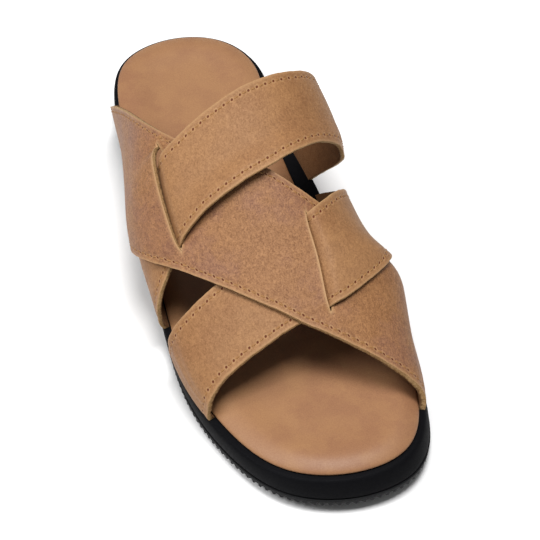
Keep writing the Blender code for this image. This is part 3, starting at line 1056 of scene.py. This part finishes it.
@dataclass(frozen=True)
class Strap:
    """A leather strap lying over the last, woven above or below the main band.

    Sizes that run over the foot (dive, fade, lip_reach, slit_half, lift_rise, lift_end and lift_fade) are
    shares of it, as "across" is, and lift_wide is a share of the width. The others are millimetres.
    """

    last: Last
    name: str
    rows: tuple[StrapRow, ...]
    finish: StrapLeather
    slits: tuple[Slit, ...] = ()
    passes: Optional[Slit] = None
    creases: tuple[Crease, ...] = ()
    outer: float = 1.3
    thickness: float = 2.6
    stack: float = 2.8
    dive: float = 0.014
    fade: float = 0.07
    front_lift: float = 0.0
    lift_rise: float = 0.1
    lift_end: float = 0.86
    lift_fade: float = 0.12
    lift_wide: float = 0.6
    lip_reach: float = 0.036
    lip_square: int = 14
    slit_half: float = 0.0075
    pinch_power: int = 9
    pinch_share: float = 0.85
    pinch_reach: float = 1.5
    ragged: float = 0.07
    wavers: tuple[Waver, ...] = table(Waver, (61.0, 1.0, 1.0), (137.0, 0.7, 3.0), (293.0, 0.5, 0.0))
    front_turn: float = 2.1
    seat_depth: float = 0.2
    bevel: float = 0.35
    bevel_angle: float = 55.0
    bevel_segments: int = 2
    groove: float = 0.22
    groove_breadth: float = 0.9
    lines: int = 190
    middle_lines: int = 26
    edge_lines: tuple[float, ...] = (0.0, 0.8, 1.6, 2.3, 2.9, 3.5, 4.1, 4.8, 5.7, 7.2, 9.5)

    @property
    def clear(self) -> float:
        """Distance of the strap's guide surface from the footbed and the edge of the ledge."""
        return GAP + self.outer

    def edge_along(self, edge: Edge, across: Array) -> Array:
        """Place of one long edge along the foot, with the small waver of a knife cut: a sum of sines.

        Args:
            edge: which edge.
            across: place across the foot.

        Returns:
            Distance along the foot.
        """
        turn = 0.0 if edge is Edge.REAR else self.front_turn
        wander = sum(wave.size * np.sin(wave.pace * across + wave.shift * turn) for wave in self.wavers)
        return column(self.rows, edge.value)(across) + self.ragged * wander

    def width(self, across: Array) -> Array:
        """Width of the strap, measured over the last from its rear to its front edge."""
        rear, front = (self.last.point(across, self.edge_along(edge, across), self.clear) for edge in Edge)
        return np.linalg.norm(front - rear, axis=-1)

    def across_lines(self) -> Array:
        """Grid lines over the foot: even, with a line on each border of a slit."""
        marks = [slit.across + side * self.slit_half for slit in self.slits for side in (-1, 1)]
        return spaced(self.lines, marks)

    def wide_lines(self, across: Array) -> Array:
        """Grid lines over the width: close together by both edges, even between, on the ends of slits.

        Args:
            across: lines over the foot.

        Returns:
            Shares of the width, one row for each line over the foot.
        """
        marks: list[float] = []
        inner = self.edge_lines[-1]
        for slit in self.slits:
            place = np.array(slit.across)
            rear, front = (self.edge_along(edge, place) for edge in Edge)
            trim = inner / self.width(place)
            ends = (np.array([slit.rear, slit.front]) - rear) / (front - rear)
            marks.extend((ends - trim) / (1 - 2 * trim))
        wide = self.width(across)[:, None]
        edge = np.array(self.edge_lines[:-1])[None] / wide
        trim = inner / wide
        middle = trim + spaced(self.middle_lines, marks)[None] * (1 - 2 * trim)
        return np.concatenate([edge, middle, 1 - edge[:, ::-1]], axis=1)

    def along(self, across: Array, wide: Array) -> Array:
        """Distance along the foot of a place on the strap: straight from its rear to its front edge."""
        rear = self.edge_along(Edge.REAR, across)
        return rear + wide * (self.edge_along(Edge.FRONT, across) - rear)

    def pinched(self, across: Array, wide: Array) -> Array:
        """Draws the borders of each slit together towards its ends, so that it ends in a point.

        Args:
            across: place across the foot.
            wide: share of the width.

        Returns:
            The places moved towards the middle of the slit.
        """
        for slit in self.slits:
            aside = across - slit.across
            inside = slit.share(self.along(across, wide))
            past = np.maximum(np.abs(inside - 0.5) - 0.5, 0)
            shut = np.clip(np.abs(2 * inside - 1), 0, 1) ** self.pinch_power
            shut = shut * np.exp(-self.pinch_power * past)
            beyond = np.maximum(np.abs(aside) / self.slit_half - 1, 0)
            across = across - aside * self.pinch_share * shut * np.exp(-beyond / self.pinch_reach)
        return across

    def level(self, across: Array, wide: Array) -> Array:
        """Height of the strap's middle over the last.

        A woven strap rides above the band on the medial side of its slit and below it beyond, on a
        hyperbolic tangent, and its front edge may lift. The band's lips part at its slits, and creases
        sink as bell curves.

        Args:
            across: place across the foot.
            wide: share of the width.

        Returns:
            The height there.
        """
        along = self.along(across, wide)
        total = np.zeros_like(along)
        if self.passes is not None:
            past = across - self.passes.across
            ends = smooth_step(across / self.fade) * smooth_step((1 - across) / self.fade)
            total += self.stack * np.tanh(past / self.dive) * ends
            over = smooth_step(past / self.lift_rise)
            over = over * smooth_step((self.lift_end - across) / self.lift_fade)
            total += self.front_lift * smooth_step((wide - self.lift_wide) / (1 - self.lift_wide)) * over
        for slit in self.slits:
            aside = across - slit.across
            inside = slit.share(along)
            part = np.clip(1 - np.abs(2 * inside - 1) ** self.lip_square, 0, 1)
            lip = slit.lip_rear + (slit.lip_front - slit.lip_rear) * np.clip(inside, 0, 1)
            total -= np.sign(aside) * lip * np.exp(-np.abs(aside) / self.lip_reach) * part
        for crease in self.creases:
            away = across - crease.across - crease.slant * (wide - 0.5)
            total -= crease.depth * bump_at(away, crease.breadth) * np.sin(np.pi * wide) ** 0.5
        return total

    def surface(self, across: Array, wide: Array, offset: Array) -> Array:
        """Points of the strap: the last, raised by the level and by an offset through the thickness.

        Args:
            across: place across the foot.
            wide: share of the width.
            offset: distance from the strap's middle, outwards.

        Returns:
            Points (x, y, z) of the frame.
        """
        along = self.along(across, wide)
        raised = self.level(across, wide) + offset
        normal = self.last.normal(across, along, self.clear)
        return self.last.point(across, along, self.clear) + normal * raised[..., None]

    def stitch_wide(self, edge: Edge, across: Array) -> Array:
        """Share of the width at which an edge's stitches run."""
        inset = self.finish.inset / self.width(across)
        return inset if edge is Edge.REAR else 1 - inset

    def stitch_line(self, edge: Edge, across: Array) -> Array:
        """Points (x, y, z) along the stitches of an edge, on the outer face."""
        wide = self.stitch_wide(edge, across)
        return self.surface(across, wide, np.full_like(across, self.outer - self.groove))

    def kept_cells(self, across: Array, wide: Array) -> Mask:
        """Cells of the grid that are leather, and not within a slit.

        Args:
            across: lines over the foot.
            wide: lines over the width.

        Returns:
            True for each cell that stays.
        """
        kept = np.ones((wide.shape[0] - 1, wide.shape[1] - 1), bool)
        middle = (across[:-1] + across[1:]) / 2
        along = self.along(np.broadcast_to(across[:, None], wide.shape), wide)
        centre = (along[:-1, :-1] + along[1:, 1:]) / 2
        for slit in self.slits:
            inside = np.abs(middle - slit.across) < self.slit_half
            kept &= ~(inside[:, None] & (centre > slit.rear) & (centre < slit.front))
        return kept

    @staticmethod
    def slab_faces(kept: Mask) -> tuple[Indices, Indices]:
        """Quads of both sheets, and of the walls wherever a kept cell has no kept neighbour.

        Args:
            kept: cells that are leather.

        Returns:
            Four point numbers for each quad, and its material slot.
        """
        rows, columns = kept.shape[0] + 1, kept.shape[1] + 1
        index = np.arange(rows * columns).reshape(rows, columns)
        below = rows * columns
        corners = (index[:-1, :-1], index[1:, :-1], index[1:, 1:], index[:-1, 1:])
        cells = np.stack(corners, axis=-1)[kept]
        border = ~np.pad(kept, 1)
        open_sides = (border[1:-1, :-2], border[2:, 1:-1], border[1:-1, 2:], border[:-2, 1:-1])
        walls = []
        for side, open_side in enumerate(open_sides):
            a = corners[side][kept & open_side]
            b = corners[(side + 1) % len(corners)][kept & open_side]
            walls.append(np.stack([b, a, a + below, b + below], axis=-1))
        wall = np.vstack(walls)
        faces = np.vstack([cells, cells[:, ::-1] + below, wall])
        slots = [face.value for face in Face]
        return faces, np.repeat(slots, [len(cells), len(cells), len(wall)])

    def attributes(self, lines: Array, wide: Array, edge: Array) -> dict[str, Array]:
        """Values that the leathers read: distance from the edge and along its stitches, wear with painted
        highlight, and depth.

        Wear is a bell curve by each cut. By the slit lips the pale band is partly wear and partly a painted
        highlight of the lip's edge. The depth is 0 on the outer sheet and 1 on the inner one.

        Args:
            lines: lines over the foot.
            wide: lines over the width.
            edge: distance of each point from the nearer long edge.

        Returns:
            For each attribute, its value at the points of the outer sheet and then of the inner one.
        """
        rear, front = (travel(self.stitch_line(side, lines))[:, None] for side in Edge)
        run = np.where(wide < 0.5, rear, front)
        wear_and_highlight = self.finish.wear_share * bump_at(edge, self.finish.wear_and_highlight_breadth)
        along = self.along(np.broadcast_to(lines[:, None], wide.shape), wide)
        girth = travel(self.surface(lines, np.full_like(lines, 0.5), np.zeros_like(lines)))[-1]
        # By the slit lips the pale band stands partly for wear and partly for a painted highlight on the
        # lip's edge.
        for slit in self.slits:
            beside = np.maximum(np.abs(lines[:, None] - slit.across) - self.slit_half, 0) * girth
            past = np.maximum(np.maximum(slit.rear - along, along - slit.front), 0)
            lip = bump_at(np.hypot(beside, past), self.finish.wear_and_highlight_breadth)
            wear_and_highlight = np.maximum(wear_and_highlight, self.finish.lip_wear_and_highlight_share * lip)
        outside = {"edge": edge, "run": run, "wear_and_highlight": wear_and_highlight}
        values = {name: np.tile(value.ravel(), 2) for name, value in outside.items()}
        return {**values, "depth": np.repeat([0.0, 1.0], edge.size)}

    def build(self) -> bpy.types.Object:
        """Two sheets a thickness apart, run on to the ledge, walled along the edges and round the slits.

        Returns:
            The piece.
        """
        lines = self.across_lines()
        wide = self.wide_lines(lines)
        across = self.pinched(np.broadcast_to(lines[:, None], wide.shape), wide)
        edge = np.minimum(wide, 1 - wide) * self.width(lines)[:, None]
        dent = self.groove * bump_at(edge - self.finish.inset, self.groove_breadth)
        outer = self.surface(across, wide, self.outer - dent)
        inner = self.surface(across, wide, np.full_like(wide, self.outer - self.thickness))
        for sheet in (outer, inner):
            for end, near in ((0, 1), (-1, -2)):
                slope = sheet[end] - sheet[near]
                seat = self.last.ledge_height(HEEL_Y - sheet[end, :, 1]) - self.seat_depth
                sheet[end] += slope * ((seat - sheet[end, :, 2]) / slope[:, 2])[:, None]
        faces, slots = self.slab_faces(self.kept_cells(lines, wide))
        points = np.vstack([outer.reshape(-1, 3), inner.reshape(-1, 3)]) * MM
        mesh = bpy.data.meshes.new(self.name)
        mesh.from_pydata(points.tolist(), [], faces.tolist())
        mesh.polygons.foreach_set("material_index", slots.astype(np.int32))
        for name, values in self.attributes(lines, wide, edge).items():
            layer = mesh.attributes.new(name, "FLOAT", "POINT")
            layer.data.foreach_set("value", values.astype(np.float32))
        turn_outwards(mesh, False)
        piece = add_piece(self.name, mesh, [self.finish.build(), FLESH_SIDE.build(), CUT_EDGE.build()])
        bevel = piece.modifiers.new("rounded_edge", "BEVEL")
        bevel.width = self.bevel * MM
        bevel.segments = self.bevel_segments
        bevel.limit_method = "ANGLE"
        bevel.angle_limit = np.radians(self.bevel_angle)
        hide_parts("upper")
        return piece


@dataclass(frozen=True)
class Stitching:
    """Thread along both edges of a strap: one short spindle between each pair of holes, its ends sunk."""

    strap: Strap
    length: float = 3.0
    radius: float = 0.36
    spread: float = 1.15
    sag: float = 0.3
    sag_level: float = 0.85
    tip: float = 0.03
    margin: float = 7.0
    ahead: float = 0.8
    rings: int = 7
    spokes: int = 8
    samples: int = 1500

    def spindle(self) -> Array:
        """One spindle round the origin, along its first axis.

        For a from 0 to 1 along it, its radius is r sqrt(sin(pi a)), and its middle line stands at the sag
        times sin(pi a) less a level, so that both ends dip.

        Returns:
            Points (x, y, z) in rings.
        """
        share = np.linspace(self.tip, 1 - self.tip, self.rings)[:, None]
        turn = np.linspace(0, 2 * np.pi, self.spokes, endpoint=False)
        bow = np.sin(np.pi * share)
        thick = self.radius * np.sqrt(bow)
        ahead = np.broadcast_to((share - 0.5) * self.length, (self.rings, self.spokes))
        height = thick * np.sin(turn) + self.sag * (bow - self.sag_level)
        return np.stack([ahead, thick * self.spread * np.cos(turn), height], axis=-1)

    def row(self, edge: Edge) -> Array:
        """Spindles along one edge, halfway between its holes, turned along the edge and out of the leather.

        Args:
            edge: which edge.

        Returns:
            Points of each spindle.
        """
        strap = self.strap
        pitch = strap.finish.pitch
        dense = np.linspace(0, 1, self.samples)
        line = strap.stitch_line(edge, dense)
        run = travel(line)
        first = np.ceil(self.margin / pitch) + 0.5
        at = np.arange(first, (run[-1] - self.margin) / pitch) * pitch
        spot = walked(line, run, at)
        forward = unit(walked(line, run, at + self.ahead) - spot)
        across = np.interp(at, run, dense)
        up = strap.last.normal(across, strap.along(across, strap.stitch_wide(edge, across)), strap.clear)
        up = unit(up - forward * np.sum(up * forward, axis=-1, keepdims=True))
        turned = np.stack([forward, np.cross(up, forward), up], axis=1)
        return spot[:, None, None] + np.einsum("abk,nkc->nabc", self.spindle(), turned)

    def build(self) -> bpy.types.Object:
        """All spindles of the strap in one mesh, each closed by a cap at both ends.

        Returns:
            The piece.
        """
        name = self.strap.name + "_stitching"
        spindles = np.concatenate([self.row(edge) for edge in Edge])
        size = self.rings * self.spokes
        starts = np.arange(len(spindles)) * size
        walls = (grid_faces(self.rings, self.spokes, True)[None] + starts[:, None, None]).reshape(-1, 4)
        caps = starts[:, None] + np.arange(self.spokes)[None]
        faces = walls.tolist() + caps[:, ::-1].tolist() + (caps + size - self.spokes).tolist()
        mesh = bpy.data.meshes.new(name)
        mesh.from_pydata((spindles.reshape(-1, 3) * MM).tolist(), [], faces)
        turn_outwards(mesh, False)
        piece = add_piece(name, mesh, [THREAD.build()])
        return piece


@dataclass(frozen=True)
class Upper:
    """The main band with its two slits, and the two straps woven through it."""

    last: Last
    band_rows: tuple[StrapRow, ...] = table(
        StrapRow,
        (0.0, 37.0, 118.0), (0.12, 67.0, 149.5), (0.25, 105.5, 174.8), (0.38, 136.0, 198.6),
        (0.5, 153.0, 216.8), (0.62, 167.0, 231.6), (0.75, 174.0, 243.2), (0.88, 181.0, 248.6),
        (1.0, 190.0, 251.0),
    )
    rear_rows: tuple[StrapRow, ...] = table(
        StrapRow,
        (0.0, 135.0, 175.0), (0.12, 133.0, 177.0), (0.25, 129.8, 169.0), (0.38, 123.4, 159.5),
        (0.5, 117.0, 152.8), (0.62, 111.6, 145.3), (0.75, 103.5, 136.5), (0.88, 90.0, 127.3),
        (1.0, 68.0, 108.0),
    )
    front_rows: tuple[StrapRow, ...] = table(
        StrapRow,
        (0.0, 191.0, 230.0), (0.12, 193.0, 231.0), (0.25, 191.5, 227.2), (0.38, 186.0, 222.2),
        (0.5, 178.6, 216.2), (0.62, 168.6, 209.2), (0.75, 157.3, 194.5), (0.88, 143.5, 178.5),
        (1.0, 118.0, 160.0),
    )
    band_creases: tuple[Crease, ...] = table(
        Crease, (0.07, 0.03, 0.5, 0.018), (0.16, -0.05, 0.35, 0.022), (0.9, -0.04, 0.45, 0.02)
    )
    rear_creases: tuple[Crease, ...] = table(Crease, (0.8, 0.05, 0.5, 0.02), (0.88, 0.03, 0.45, 0.016))
    front_creases: tuple[Crease, ...] = table(Crease, (0.12, -0.04, 0.4, 0.02), (0.84, 0.05, 0.4, 0.018))
    band_lines: tuple[int, int] = (240, 44)
    rear_thickness: float = 2.2
    rear_lift: float = 3.2

    def straps(self) -> tuple[Strap, ...]:
        """The three straps, the band first, since the others pass through its slits.

        Returns:
            The main band, the rear strap and the front strap.
        """
        band = Strap(
            self.last, "main_band", self.band_rows, BAND_LEATHER,
            slits=(REAR_SLIT, FRONT_SLIT), creases=self.band_creases,
            lines=self.band_lines[0], middle_lines=self.band_lines[1],
        )
        rear = Strap(
            self.last, "rear_strap", self.rear_rows, STRAP_LEATHER,
            passes=REAR_SLIT, creases=self.rear_creases,
            thickness=self.rear_thickness, front_lift=self.rear_lift,
        )
        front = Strap(
            self.last, "front_strap", self.front_rows, STRAP_LEATHER,
            passes=FRONT_SLIT, creases=self.front_creases,
        )
        return band, rear, front

    def build(self) -> list[bpy.types.Object]:
        """Builds each strap and its stitching."""
        return [piece for strap in self.straps() for piece in (strap.build(), Stitching(strap).build())]


@dataclass(frozen=True)
class Lamp:
    """A soft square studio panel that faces the shoe: place and side in metres, and power in watts."""

    name: str
    place: tuple[float, float, float]
    size: float
    power: float


@dataclass(frozen=True)
class Studio:
    """White board, soft panels and the camera at the photo's angle to the shoe, placed in metres."""

    camera_place: tuple[float, float, float] = (-0.1811, -0.6649, 0.7931)
    camera_aim: tuple[float, float, float] = (0.0013, -0.0305, 0.035)
    lens: float = 150.0
    sensor: float = 36.0
    floor_half: float = 3.0
    floor_drop: float = 0.0002
    sky: float = 0.22
    lamps: tuple[Lamp, ...] = (
        Lamp("overhead_panel", (0.03, -0.17, 1.6), 0.6, 26.0),
        Lamp("key_panel", (-0.8, 0.0, 1.0), 0.5, 8.0),
    )

    def build(self) -> None:
        """Builds the floor, the light and the camera."""
        self.add_floor()
        self.add_light()
        self.add_camera()

    def add_floor(self) -> None:
        """Flat board under the sole."""
        side = np.array([-1.0, 1.0]) * self.floor_half
        x, y = np.meshgrid(side, side, indexing="ij")
        points = np.stack([x, y, np.full_like(x, -self.floor_drop)], axis=-1).reshape(-1, 3)
        mesh = bpy.data.meshes.new("studio_floor")
        mesh.from_pydata(points.tolist(), [], grid_faces(2, 2, False)[:, ::-1].tolist())
        mesh.materials.append(FLOOR_PAINT.build())
        floor = bpy.data.objects.new("studio_floor", mesh)
        bpy.context.scene.collection.objects.link(floor)

    def add_light(self) -> None:
        """Even white sky and the soft panels."""
        world = bpy.data.worlds.new("studio_sky")
        world.use_nodes = True
        sky = world.node_tree.nodes["Background"]
        sky.inputs["Color"].default_value = (1.0, 1.0, 1.0, 1.0)
        sky.inputs["Strength"].default_value = self.sky
        bpy.context.scene.world = world
        for lamp in self.lamps:
            data = bpy.data.lights.new(lamp.name, "AREA")
            data.size = lamp.size
            data.energy = lamp.power
            panel = bpy.data.objects.new(lamp.name, data)
            panel.location = lamp.place
            panel.rotation_euler = (-Vector(lamp.place)).to_track_quat("-Z", "Y").to_euler()
            bpy.context.scene.collection.objects.link(panel)

    def add_camera(self) -> None:
        """Camera where the photo was taken from, turned to the one shoe."""
        data = bpy.data.cameras.new("photo_camera")
        data.lens = self.lens
        data.sensor_width = self.sensor
        camera = bpy.data.objects.new("photo_camera", data)
        camera.location = self.camera_place
        sight = Vector(self.camera_aim) - Vector(self.camera_place)
        camera.rotation_euler = sight.to_track_quat("-Z", "Y").to_euler()
        bpy.context.scene.collection.objects.link(camera)
        bpy.context.scene.camera = camera
        bpy.context.scene.view_settings.view_transform = "Standard"


def main() -> None:
    """Builds the shoe from the ground up, then the studio round it."""
    logging.basicConfig(level=logging.INFO, format="%(name)s: %(message)s")
    last = Last()
    Outsole(last).build()
    Midsole(last).build()
    Footbed(last).build()
    Upper(last).build()
    Studio().build()


if __name__ == "__main__":
    main()
